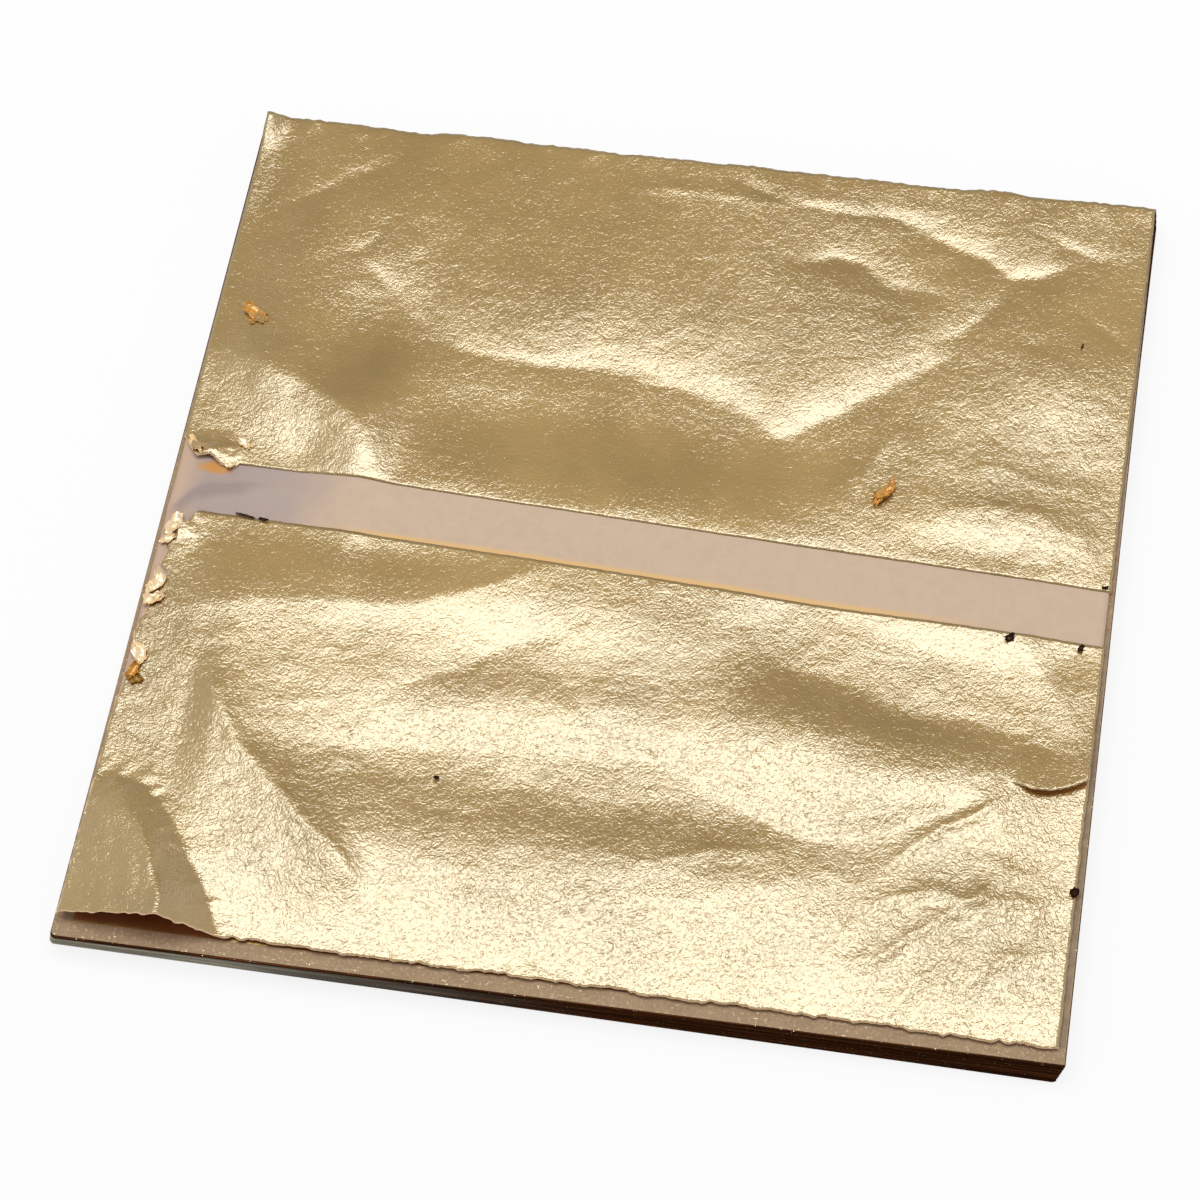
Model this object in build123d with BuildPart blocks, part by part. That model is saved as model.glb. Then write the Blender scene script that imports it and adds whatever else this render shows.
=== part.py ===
"""A loose pack of metal leaf: square papers, each with one leaf lying on it in two halves.

Frame: the origin is the middle of the pack's underside, +X to the right, +Y away from the near edge, +Z up.
Page 1 is the top page. Pages are counted downwards.
"""
from build123d import *
from math import cos, hypot, radians, sin, tan
import os

# ---------------------------------------------------------------- driving dimensions, mm and degrees
page_count = 100            # pages in the pack, the top one included
loose_count = 12            # pages from the top whose pieces are each made alone
block_size = 8              # pages in one block further down

paper_thickness = 0.035
worn_corner_radius = 0.7    # the papers' near left corner, rubbed round
left_draw_in = 1.2          # the papers' left side is cut out of square: its far end stands in by this

leaf_width = 140.0          # a leaf, left to right
half_leaf_depth = 65.5      # one half of a leaf, near to far
strip_width = 9.0           # bare paper between the two halves
leaf_thickness = 0.010      # drawn thick: the real leaf is under a micron
near_margin = 2.45          # bare interleaf paper in front of a leaf
far_margin = 0.05           # behind it
left_margin = 1.35          # to its left, at the near end
right_margin = 0.15         # to its right

tissue_thickness = 0.035    # the top page's own sheet, as large as a leaf
top_shift = 0.22            # the top page lies this far to the right of the pack's middle
strip_tilt = -1.9           # turn of the top page's bare strip
strip_drop = 0.5            # its middle, nearer than the leaf's middle

first_turn = 0.42           # turn of the uppermost interleaf paper, counter-clockwise
last_turn = -0.20           # turn of the lowest one
drift = -0.40               # the lowest paper lies this far to the right of the uppermost one
turn_jitter = 0.05          # uneven turns on top of the steady one
shift_jitter = 0.12         # uneven shifts, sideways and along

crease_turn = 35.2          # the top sheet's crease, turned from straight along Y
crease_reach = 22.5         # from the near left corner to the crease, along the near edge
ridge_height = 5.3          # where the two slopes of the fold would meet, over the flat sheet
ridge_run = 6.0             # from the crease to the ridge, square to the crease
tip_height = 0.9            # the corner's tip, over the flat sheet
tip_run = 18.8              # from the crease to the tip, square to the crease
fold_radius = 2.6           # of the bend at the crease and the bend along the ridge

flake_thickness = 0.03
flake_bow = 0.8             # rise of a flake's middle over its ends

# Torn left side of the top leaf, from far to near: distance in from the leaf's left edge, and y from
# the middle of the leaf.
torn_far_half = [(0.0, 9.9), (1.1, 8.4), (2.7, 6.4), (4.9, 6.9)]
torn_near_half = [(5.8, -2.6), (4.7, -3.4), (2.5, -6.2), (1.4, -12.6), (3.0, -13.9), (0.4, -16.0)]
torn_near_foot = [(1.1, -19.2), (0.1, -24.0), (1.2, -28.4), (0.6, -33.6), (0.0, -35.8)]

# Loose flakes on the top leaf: distance in from the leaf's left edge, or from its right edge where it is
# negative, y from the middle of the leaf, length, width, turn.
flakes = [
    (6.0, 32.4, 5.6, 3.4, -38.0),
    (-34.4, 13.8, 6.4, 2.8, 58.0),
    (3.1, -30.6, 4.4, 3.6, 20.0),
    (-14.0, -9.4, 2.4, 1.6, -20.0),
    (-3.6, -9.6, 2.0, 1.4, 35.0),
]

# ---------------------------------------------------------------- sizes worked out from them
page_pitch = paper_thickness + leaf_thickness
leaf_depth = 2 * half_leaf_depth + strip_width
half_step = (half_leaf_depth + strip_width) / 2
paper_width = leaf_width + left_margin + right_margin
paper_depth = leaf_depth + near_margin + far_margin
leaf_shift = (left_margin - right_margin) / 2
leaf_middle = (near_margin - far_margin) / 2
tissue_bottom = (page_count - 1) * page_pitch
top_leaf_top = tissue_bottom + tissue_thickness + leaf_thickness
sheet_reach = hypot(leaf_width, leaf_depth)
top_middle = Plane((top_shift, leaf_middle, 0))


def page_place(page):
    """The plane under a page's paper. The pack twists and drifts steadily from the top to the bottom."""
    share = (page - 2) / (page_count - 2)
    turn = first_turn + (last_turn - first_turn) * share + turn_jitter * sin(2.4 * page)
    shift = (drift * share + shift_jitter * sin(1.7 * page), shift_jitter * cos(2.9 * page))
    bottom = (page_count - page) * page_pitch
    return Plane((*shift, bottom)).rotated((0, 0, turn))


def write(piece, name):
    """Labels a finished piece and writes its file."""
    piece.label = name
    export_step(piece, f"parts/{name}.step")


# ---------------------------------------------------------------- flat papers and flat half leaves
def interleaves(pages):
    """The papers of some pages: square but for the left side, and with a worn near left corner."""
    side, end = paper_width / 2, paper_depth / 2
    with BuildPart() as papers:
        for page in pages:
            with BuildSketch(page_place(page)) as outline:
                with BuildLine():
                    Polyline((-side, -end), (side, -end), (side, end), (left_draw_in - side, end), close=True)
                make_face()
                near_corners = outline.vertices().group_by(Axis.Y)[0]
                fillet(near_corners.sort_by(Axis.X)[0], radius=worn_corner_radius)
            extrude(amount=paper_thickness)
    return papers.part


def half_leaves(pages, steps):
    """Half leaves of some pages, each on its paper; steps are their middles along Y, from a leaf's middle."""
    with BuildPart() as leaves:
        for page in pages:
            with BuildSketch(page_place(page).offset(paper_thickness)):
                with Locations(*[(leaf_shift, leaf_middle + step) for step in steps]):
                    Rectangle(leaf_width, half_leaf_depth)
            extrude(amount=leaf_thickness)
    return leaves.part


# ---------------------------------------------------------------- the top page and its lifted corner
def fold_course(lift):
    """Corner points and bend radii of the fold's profile, at a distance above the sheet's underside.

    The profile runs flat to the crease, up to the ridge, down to the tip and on past it. A line parallel
    to it has each corner moved along the bisector, and the bend radii smaller by the distance where the
    profile turns up, and larger where it turns down.
    """
    up = Vector(ridge_run, ridge_height).normalized()
    down = Vector(tip_run - ridge_run, tip_height - ridge_height).normalized()
    ahead = Vector(1, 0)
    foot = Vector(0, 0)
    ridge = Vector(ridge_run, ridge_height)

    def moved(corner, before, after):
        bisector = (before.rotate(Axis.Z, 90) + after.rotate(Axis.Z, 90)).normalized()
        return corner + bisector * (lift / bisector.dot(before.rotate(Axis.Z, 90)))

    points = [
        Vector(-sheet_reach, lift),
        moved(foot, ahead, up),
        moved(ridge, up, down),
        ridge + down * sheet_reach + down.rotate(Axis.Z, 90) * lift,
    ]
    return points, [fold_radius - lift, fold_radius + lift]


def near_left_fold():
    """The plane of the fold's profile: its X runs square to the crease, out to the corner, its Y is up."""
    out = Vector(-cos(radians(crease_turn)), -sin(radians(crease_turn)))
    along = Vector(-sin(radians(crease_turn)), cos(radians(crease_turn)))
    foot_x = top_shift - leaf_width / 2 + crease_reach
    foot_y = leaf_middle - leaf_depth / 2
    return Plane(origin=(foot_x, foot_y, tissue_bottom), x_dir=(*out,), z_dir=(*along,))


def top_layer(lift, thickness, outline):
    """One layer of the top page, at a distance above its underside, cut to an outline.

    The folded profile is swept along the crease and then cut with the outline's prism.
    """
    lower, lower_radii = fold_course(lift)
    upper, upper_radii = fold_course(lift + thickness)
    with BuildPart() as layer:
        with BuildSketch(near_left_fold()):
            with BuildLine():
                FilletPolyline(*lower, radius=lower_radii)
                FilletPolyline(*upper, radius=upper_radii)
                Line(lower[0], upper[0])
                Line(lower[-1], upper[-1])
            make_face()
        extrude(amount=sheet_reach, both=True)
        with BuildSketch(top_middle):
            with BuildLine():
                Polyline(*outline, close=True)
            make_face()
        extrude(amount=tissue_bottom + 2 * ridge_height, mode=Mode.INTERSECT)
    return layer.part


def strip_edge(x, side):
    """Y of the bare strip's far (side 1) or near (side -1) edge on the top page."""
    return x * tan(radians(strip_tilt)) - strip_drop + side * strip_width / 2


def from_left(points):
    """Points given by their distance from the leaf's left edge, measured from the leaf's middle instead."""
    return [(inset - leaf_width / 2, y) for inset, y in points]


def top_outlines():
    """Outlines of the top tissue and its far and near half leaf, from the middle of the page."""
    side, far = leaf_width / 2, leaf_depth / 2
    tissue = [(-side, -far), (side, -far), (side, far), (-side, far)]
    far_half = [(-side, far), *from_left(torn_far_half), (side, strip_edge(side, 1)), (side, far)]
    near_left = [*from_left(torn_near_half + torn_near_foot), (-side, -far)]
    near_half = [*near_left, (side, -far), (side, strip_edge(side, -1))]
    return tissue, far_half, near_half


def loose_flakes():
    """Small bowed scraps of leaf that stand on their two ends."""
    with BuildPart() as scraps:
        for inset, y, length, width, turn in flakes:
            edge = -leaf_width / 2 if inset > 0 else leaf_width / 2
            middle = Plane((top_shift + edge + inset, leaf_middle + y, top_leaf_top)).rotated((0, 0, turn))
            section = Plane(origin=middle.origin, x_dir=middle.x_dir, z_dir=-middle.y_dir)
            half, top = length / 2, flake_bow + flake_thickness
            with BuildSketch(section):
                with BuildLine():
                    ThreePointArc((-half, 0), (0, flake_bow), (half, 0))
                    ThreePointArc((-half, flake_thickness), (0, top), (half, flake_thickness))
                    Line((-half, 0), (-half, flake_thickness))
                    Line((half, 0), (half, flake_thickness))
                make_face()
            extrude(amount=width / 2, both=True)
    return scraps.part


# ---------------------------------------------------------------- the files, one for each piece or block
def file_number(page):
    """Page numbers with leading zeros, so that the files sort in the pack's order."""
    return str(page).zfill(len(str(page_count)))


os.makedirs("parts", exist_ok=True)

tissue_outline, far_outline, near_outline = top_outlines()
write(top_layer(0, tissue_thickness, tissue_outline), "top_tissue")
write(top_layer(tissue_thickness, leaf_thickness, far_outline), "top_leaf_far_half")
write(top_layer(tissue_thickness, leaf_thickness, near_outline), "top_leaf_near_half")
write(loose_flakes(), "loose_flakes")

for page in range(2, loose_count + 1):
    write(interleaves([page]), f"interleaf_{file_number(page)}")
    write(half_leaves([page], [half_step]), f"leaf_far_half_{file_number(page)}")
    write(half_leaves([page], [-half_step]), f"leaf_near_half_{file_number(page)}")

for first in range(loose_count + 1, page_count + 1, block_size):
    last = min(first + block_size - 1, page_count)
    pages = range(first, last + 1)
    span = f"{file_number(first)}_to_{file_number(last)}"
    write(interleaves(pages), f"interleaves_{span}")
    write(half_leaves(pages, [half_step, -half_step]), f"leaves_{span}")

print(f"pack of {page_count} pages, {page_count * page_pitch:.2f} mm thick, {leaf_depth:.1f} mm leaf")
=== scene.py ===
# %% [markdown]
# # A pack of metal leaf
#
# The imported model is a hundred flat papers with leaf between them, and a top sheet whose near left corner is
# lifted. Here it is dressed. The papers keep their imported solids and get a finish. The top sheet and its leaf are
# thin, wrinkled and torn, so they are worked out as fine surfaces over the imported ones.

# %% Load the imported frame
from math import cos, pi, radians, sin, tan

import bpy
import numpy as np
from mathutils import Matrix, Vector


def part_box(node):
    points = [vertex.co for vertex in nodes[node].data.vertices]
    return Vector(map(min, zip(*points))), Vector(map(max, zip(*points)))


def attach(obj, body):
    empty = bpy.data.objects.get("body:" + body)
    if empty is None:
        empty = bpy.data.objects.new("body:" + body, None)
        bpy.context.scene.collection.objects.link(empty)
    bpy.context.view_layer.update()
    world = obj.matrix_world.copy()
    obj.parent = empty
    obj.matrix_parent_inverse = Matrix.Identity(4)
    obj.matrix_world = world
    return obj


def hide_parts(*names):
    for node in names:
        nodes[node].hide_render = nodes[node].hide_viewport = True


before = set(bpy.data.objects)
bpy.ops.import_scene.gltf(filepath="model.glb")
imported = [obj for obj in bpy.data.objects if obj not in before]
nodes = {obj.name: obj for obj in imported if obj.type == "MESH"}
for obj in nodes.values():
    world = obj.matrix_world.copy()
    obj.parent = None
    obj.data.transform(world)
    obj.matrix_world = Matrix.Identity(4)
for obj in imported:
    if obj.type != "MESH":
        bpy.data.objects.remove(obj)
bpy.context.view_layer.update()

MM = 0.001

# %% [markdown]
# Everything on the top sheet is measured in millimetres from its middle, x to the right, y away from the viewer
# and z up from its underside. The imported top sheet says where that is.

# %% The top sheet's own frame
low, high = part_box("top_tissue")
TOP_MIDDLE = np.array([(low.x + high.x) / 2, (low.y + high.y) / 2, low.z]) / MM
SIDE = (high.x - low.x) / MM
HALF = SIDE / 2
print("top sheet", round(SIDE, 2), "mm square, its underside at", round(TOP_MIDDLE[2], 3), "mm")

# %% [markdown]
# ## Surfaces from arrays
#
# A thin sheet is a grid of points. Its underside is the same grid moved down, and a rim of faces joins the two, so
# the mesh is closed.

# %% A closed slab over a grid
def grid_faces(rows, columns):
    """Corner numbers of the faces of a grid of points, counter-clockwise when seen from above."""
    corner = np.arange(rows * columns).reshape(rows, columns)
    return np.stack([corner[:-1, :-1], corner[:-1, 1:], corner[1:, 1:], corner[1:, :-1]], -1).reshape(-1, 4)


def rim_loop(rows, columns):
    """The outer corner numbers of a grid in order, counter-clockwise seen from above."""
    corner = np.arange(rows * columns).reshape(rows, columns)
    return np.concatenate([corner[0, :-1], corner[:-1, -1], corner[-1, :0:-1], corner[:0:-1, 0]])


def closed_slab(top, shape, thickness):
    """Points and faces of a closed thin sheet: the top points, the same lowered by the thickness, and a rim."""
    faces = grid_faces(*shape)
    rim = rim_loop(*shape)
    after = np.roll(rim, -1)
    sides = np.stack([rim + len(top), after + len(top), after, rim], -1)
    quads = np.concatenate([faces, faces[:, ::-1] + len(top), sides])
    return np.concatenate([top, top - np.array([0, 0, thickness])]), quads


print("a grid of 3 by 3 points closes into", len(closed_slab(np.zeros((9, 3)), (3, 3), 1.0)[1]), "faces")

# %% [markdown]
# A new mesh's lists of points, corners and faces are made to size, and foreach_set fills each in one go. Numbers
# such as how crumpled the leaf is can be stored on the points too, for a material to read.

# %% Meshes and pieces
def mesh_from(name, points, quads):
    """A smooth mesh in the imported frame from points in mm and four-cornered faces."""
    mesh = bpy.data.meshes.new(name)
    mesh.vertices.add(len(points))
    mesh.vertices.foreach_set("co", (points * MM).astype(np.float32).ravel())
    mesh.loops.add(quads.size)
    mesh.loops.foreach_set("vertex_index", quads.astype(np.int32).ravel())
    mesh.polygons.add(len(quads))
    mesh.polygons.foreach_set("loop_start", np.arange(0, quads.size, 4, dtype=np.int32))
    mesh.polygons.foreach_set("use_smooth", np.ones(len(quads), bool))
    mesh.update(calc_edges=True)
    mesh.validate()
    return mesh


def slab_mesh(name, x, y, z, thickness):
    """The mesh of a closed thin sheet from grids of x, y and z in mm."""
    return mesh_from(name, *closed_slab(np.stack([x, y, z], -1).reshape(-1, 3), x.shape, thickness))


def mark(mesh, name, values):
    """Stores a number on each point of a mesh, for a material to read. Both sides of a slab get the same."""
    values = np.resize(values, len(mesh.vertices)).astype(np.float32)
    mesh.attributes.new(name, "FLOAT", "POINT").data.foreach_set("value", values)


def piece(name, mesh, body, slot, *stands_for):
    """Adds a mesh to the scene as a piece of the object that rides on a body, and says what it made."""
    made = bpy.data.objects.new(name, mesh)
    bpy.context.scene.collection.objects.link(made)
    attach(made, body)
    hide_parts(*stands_for)
    print(name, len(mesh.polygons), "faces")
    return made

# %% [markdown]
# ## Noise
#
# Crumpled metal has detail at every size. A lattice of seeded random heights, joined smoothly, gives one size.
# Its valleys turned into sharp creases look like foil that was pressed flat again.

# %% Smooth and creased noise
LATTICE = 97
WARP, WARP_SIZE = 0.45, 1.7


def smooth_step(t):
    """0 below 0, 1 above 1, and 3t^2 - 2t^3 between."""
    t = np.clip(t, 0, 1)
    return t * t * (3 - 2 * t)


def lattice_noise(x, y, size, seed):
    """Random heights from -1 to 1 on a square lattice of the given size, joined by smooth steps."""
    heights = np.random.default_rng(seed).uniform(-1, 1, (LATTICE, LATTICE))
    u, v = np.asarray(x) / size, np.asarray(y) / size
    i, j = np.floor(u).astype(int), np.floor(v).astype(int)
    a, b = smooth_step(u - i), smooth_step(v - j)
    i0, i1, j0, j1 = i % LATTICE, (i + 1) % LATTICE, j % LATTICE, (j + 1) % LATTICE
    near = heights[i0, j0] * (1 - a) + heights[i1, j0] * a
    far = heights[i0, j1] * (1 - a) + heights[i1, j1] * a
    return near * (1 - b) + far * b


def creased_noise(x, y, size, seed):
    """1 - |noise| on bent coordinates: sharp creases from 0 to 1, with rounded hollows between them."""
    bent_x = x + WARP * size * lattice_noise(x, y, WARP_SIZE * size, seed + 1)
    bent_y = y + WARP * size * lattice_noise(x, y, WARP_SIZE * size, seed + 2)
    return 1 - np.abs(lattice_noise(bent_x, bent_y, size, seed))


def bell(x, y, x0, y0, half_width, half_depth, most):
    """A bell round the middle x0, y0: most * exp(-(across / half width)^2 - (away / half depth)^2)."""
    return most * np.exp(-(((x - x0) / half_width) ** 2) - ((y - y0) / half_depth) ** 2)


trial = np.linspace(0, 9, 5)
print("creased noise at five places:", np.round(creased_noise(trial, trial, 3.0, seed=1), 2))

# %% [markdown]
# ## The relief of the top sheet
#
# The sheet's shape is a sum. First comes the lifted corner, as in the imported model: a crease, a slope up to a
# ridge and a gentler one down to the tip, with gathers of the leaf at its foot. Long folds and swells follow.
# They are low, but leaf mirrors the lamp: a slope of two degrees turns it from dark to bright. Crumpling is last.

# %% The lifted corner
CREASE_TURN = radians(35.2)
CREASE_REACH = 22.5
RIDGE_HEIGHT, RIDGE_RUN = 5.3, 6.0
TIP_HEIGHT, TIP_RUN = 0.9, 18.8
RIDGE_FALL = 0.20  # the ridge falls by this per mm away from the near edge
HIP_Y, HIP_SLOPE = -49.6, 0.5  # the slope at its far end
FOOT_BEND, RIDGE_BEND, FOOT_SINK = 1.1, 0.10, 0.02
SWAY, SWAY_LENGTH = 0.9, 6.5  # the crease isn't quite straight
WANDER, WANDER_SIZE = 0.5, 6.0
HIP_SWAY, HIP_LENGTH = 1.2, 3.0
DENT, DENT_SIZE, DENT_FULL = 0.16, 4.5, 2.0  # shallow dents, full where the lift is 2 mm
DENT_PACKED, DENT_DRAWN = 1.4, 0.7  # closer together along x, drawn out along y


def soft_larger(a, b, width):
    """The larger of two heights, rounded over a width where they cross: (a + b + sqrt((a-b)^2 + w^2) - w) / 2."""
    return (a + b + np.sqrt((a - b) ** 2 + width * width) - width) / 2


def soft_smaller(a, b, width):
    """The smaller of two heights, rounded the same way."""
    return -soft_larger(-a, -b, width)


def out_from_crease(x, y):
    """Distance out from the straight crease: the step from its near end, along (-cos turn, -sin turn)."""
    return (x + HALF - CREASE_REACH) * -cos(CREASE_TURN) + (y + HALF) * -sin(CREASE_TURN)


def corner_lift(x, y):
    """Height of the lifted corner: the smallest of three slopes, up from the crease, down to the tip and down to
    the far end, never under 0."""
    sway = SWAY * np.sin((y + HALF) / SWAY_LENGTH)
    wander = sway + WANDER * lattice_noise(x, y, WANDER_SIZE, seed=23)
    out = out_from_crease(x, y) + wander
    up = out * RIDGE_HEIGHT / RIDGE_RUN
    down = RIDGE_HEIGHT - (out - RIDGE_RUN) * (RIDGE_HEIGHT - TIP_HEIGHT) / (TIP_RUN - RIDGE_RUN)
    down = down - RIDGE_FALL * (y + HALF)
    far_end = (HIP_Y + HIP_SWAY * np.sin((x + HALF) / HIP_LENGTH) - y) * HIP_SLOPE
    roof = soft_smaller(soft_smaller(up, down, RIDGE_BEND), far_end, FOOT_BEND)
    dents = DENT * creased_noise(x * DENT_PACKED, y * DENT_DRAWN, DENT_SIZE, seed=29)
    lifted = np.maximum(soft_larger(roof, 0 * roof, FOOT_BEND) - FOOT_SINK, 0)
    return lifted - dents * smooth_step(roof / DENT_FULL)


near_edge = np.linspace(-HALF, -HALF + CREASE_REACH, 6)
print("lift along the near edge:", np.round(corner_lift(near_edge, 0 * near_edge - HALF), 1), "mm")

# %% Gathers at its foot
GATHER, GATHER_SIZE, GATHER_DRAWN = 0.36, 1.8, 0.5
GATHER_REACH, GATHER_SHIFT, GATHER_HIP = 1.9, 0.3, 0.6


def gathers(x, y):
    """Short creases across the foot of the lifted corner, in the leaf alone: creased noise, drawn out across it,
    times exp(-(distance / reach)^2)."""
    out = out_from_crease(x, y)
    along = (y + HALF) * cos(CREASE_TURN) - (x + HALF) * sin(CREASE_TURN)
    from_foot = np.minimum(out, (HIP_Y - y) * GATHER_HIP) + GATHER_SHIFT
    at_foot = np.exp(-((from_foot / GATHER_REACH) ** 2))
    return GATHER * creased_noise(out * GATHER_DRAWN, along, GATHER_SIZE, seed=37) * at_foot


print("gathers there:", np.round(gathers(near_edge[-1], -HALF), 2), "mm")

# %% [markdown]
# A fold is a crease through a few points from left to right, and on each side its height dies away over a width
# of its own. A ridge is bright on its near side. A valley, with a negative height, is bright on its far side. A
# swell is a tilted patch that dies away around. Each is placed one by one: the eye knows this sheet by its folds.

# %% Folds and swells
# height, width of the far side, width of the near side, points
FOLDS = [
    (-0.50, 3.4, 14, [(-37, 31.5), (-28, 30.2), (-18, 29.6), (-10, 30), (-3, 28.3), (5, 27.2), (12, 24.8),
                        (22, 19.6)]),
    (-0.40, 7.5, 9, [(-17, 31), (-8, 31.5), (2, 29), (10, 27), (18, 24)]),
    (-0.75, 3.2, 11, [(17, 20.2), (20, 21.8), (27, 27), (35, 33.5), (44.5, 40.6)]),
    (1.35, 25, 9, [(-80, 29), (-68, 26.2), (-60, 23), (-51, 20), (-46.5, 16.5), (-42, 10.5), (-36, 4)]),
    (-0.60, 3, 6, [(17, 53), (22, 55), (27, 54.6), (31, 51), (40, 50.2)]),
    (-0.60, 2.4, 7, [(28, 64.4), (38, 60.4), (45, 57.2), (50, 54.6), (54, 55), (60, 57.5)]),
    (-0.22, 1, 1.4, [(4, 68.2), (12, 64.8), (20, 63.2), (28, 63.4), (36, 61.8)]),
    (0.14, 1.2, 0.8, [(-10, 63.4), (2, 64.2), (12, 63.4), (24, 65)]),
    (-0.24, 1.2, 2, [(53, 63), (60, 60), (67, 58.4)]),
    (-0.22, 1.6, 3, [(-67, 50), (-58, 57), (-46, 65)]),
    (-0.20, 1.3, 2, [(-54, 45), (-50, 46.5), (-46, 51)]),
    (-0.20, 1.5, 2.4, [(-52, 46), (-46, 41.5), (-40, 35.5), (-35, 31)]),
    (-0.32, 2.2, 3.5, [(38, 40), (43, 43), (51, 53)]),
    (0.34, 6, 3, [(44, 11.5), (50, 13.4), (58, 13.4), (64, 10.5), (70, 2)]),
    (0.22, 3, 2.2, [(45, 18), (52, 20.6), (58, 18.2), (64, 18)]),
    (-0.15, 0.8, 1, [(60, 49), (65, 46.5), (72, 42)]),
    (-0.10, 0.7, 0.9, [(50, 43.6), (54, 43), (59, 43.4)]),
    (0.20, 3, 3, [(26, 12), (32, 17), (36, 25)]),
    (-0.95, 3, 10, [(-38, -38.5), (-25, -37.3), (-12, -36.2), (0, -35.3), (10, -35.6)]),
    (-0.70, 4.2, 10, [(13, -37), (18, -39.6), (25, -41.6), (32, -43.6), (39, -43.2), (46, -39.6), (59, -33.4)]),
    (0.42, 9, 12, [(-42, -48), (-20, -55), (0, -58), (12, -57), (25, -52.4), (40, -47)]),
    (0.32, 8, 5, [(-76, -20), (-62, -18.8), (-45, -15.6), (-30, -14), (-20, -10), (-6, -4)]),
    (1.55, 5, 9, [(-60, -27.5), (-57, -31.5), (-52, -38), (-46, -44.5), (-38, -52), (-26, -62)]),
    (-0.42, 3.4, 8, [(36, -15.5), (42, -18), (55, -22.6), (70, -26.5)]),
    (0.30, 4, 3, [(56, -5), (60, -10.5), (65, -17.5), (71, -24)]),
    (-0.26, 3.4, 3.4, [(-34, -31), (-20, -23), (-6, -14)]),
    (-0.16, 1.6, 3, [(-8, -22), (0, -29), (6, -33), (14, -36)]),
    (0.40, 0.9, 0.9, [(44, -45.6), (50, -40), (59.5, -33)]),
    (0.36, 0.8, 0.8, [(44, -71.5), (47, -67), (50.5, -62.5), (55, -60)]),
    (0.45, 1.6, 1.2, [(42, -52), (50, -49.6), (60, -50.4), (71, -47)]),
    (0.34, 1.1, 1, [(36, -62), (44, -61), (52, -53), (62, -45)]),
    (0.30, 1, 0.9, [(54, -64), (62, -58), (71, -55)]),
    (0.14, 1, 1, [(8, -52), (20, -47), (30, -46)]),
]

# x and y of the middle, half width, half depth, slope up and away
SWELLS = [
    (-44, 25, 6, 14, -0.140),
    (-5, 13, 34, 10, -0.060),
    (-22, 23, 13, 6, 0.035),
    (-63, 19.5, 9, 7, 0.120),
    (-57, 12, 14, 7, 0.140),
    (54, 8, 14, 4.5, 0.120),
    (62, 28, 11, 12, 0.100),
    (-40, -9, 26, 6, -0.035),
    (-62, -11, 9, 7, -0.045),
    (45, -25, 18, 12, -0.240),
    (28, -19, 10, 11, -0.190),
    (67, -12, 5, 5, -0.090),
    (48, -11, 8, 5, 0.120),
    (3, -45.5, 36, 9, -0.150),
    (-8, -25, 24, 6, -0.060),
    (-10, -16, 14, 8, 0.060),
]

# %% Heights of a fold and of a swell
CREASE_ROUND = 0.25
WANDERS = [(0.50, 5.0, 101), (0.22, 1.9, 131)]  # how far a fold strays from its line, over what size, seed
END_SHARE, EASE_LEAST, EASE_SHARE = 0.3, 4.0, 0.12
TINY = 1e-6


def fold_height(x, y, height, far, near, points):
    """One fold: height * exp(-distance / width), rounded at the crease, with a width for each side, lower towards
    both ends and round beyond them. The distance from the line is measured up and down and shortened by the
    line's slant."""
    along, line = np.array(points, float).T
    slant = np.interp(x, along, np.gradient(line, along))
    wander = sum(most * lattice_noise(x, y, size, len(points) + seed) for most, size, seed in WANDERS)
    across = (y - np.interp(x, along, line)) / np.hypot(1, slant) + wander
    beyond = np.maximum(np.maximum(along[0] - x, x - along[-1]), 0)
    distance = np.hypot(across, beyond) + TINY
    width = near + (far - near) * (1 + across / distance) / 2
    passed = np.interp(x, along, np.concatenate([[0], np.cumsum(np.hypot(np.diff(along), np.diff(line)))]))
    ease = EASE_LEAST + EASE_SHARE * passed.max()
    taper = END_SHARE + (1 - END_SHARE) * smooth_step(passed / ease) * smooth_step((passed.max() - passed) / ease)
    return height * taper * np.exp((CREASE_ROUND - np.hypot(distance, CREASE_ROUND)) / width)


def swell_height(x, y, x0, y0, half_width, half_depth, slope):
    """One swell: slope times distance away from its middle, under a bell as wide and deep as the swell."""
    return (y - y0) * bell(x, y, x0, y0, half_width, half_depth, slope)


def long_waves(x, y):
    """All folds and swells of the sheet, added up."""
    folds = sum(fold_height(x, y, *fold) for fold in FOLDS)
    swells = sum(swell_height(x, y, *swell) for swell in SWELLS)
    return folds + swells


sample = np.linspace(-HALF, HALF, 7)
print("folds and swells across the near half:", np.round(long_waves(sample, 0 * sample - 40), 2), "mm")

# %% [markdown]
# Above the long folds and at the right the leaf is crushed and sparkles. The far left, the hollow behind the bare
# strip and the place in front of its left end are smooth. Tissue and leaf share the larger creases, so that they
# lie on each other. The finest ones are in the leaf alone.

# %% Crumpling
STRIP_TILT = radians(-1.9)
STRIP_DROP, STRIP_WIDTH = 0.5, 9.0
CRUSH_LEAST, CRUSH_USUAL, CRUSH_MOST = 0.15, 0.35, 1.3
PATCH, PATCH_SIZE = 0.18, 9.0
PACKED = 0.8  # creases are this much longer along x than along y
COARSE, COARSE_SIZE = 0.070, 9.0
MIDDLE, MIDDLE_SIZE = 0.065, 4.2
FINE, FINE_SIZE = 0.055, 1.9

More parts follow.
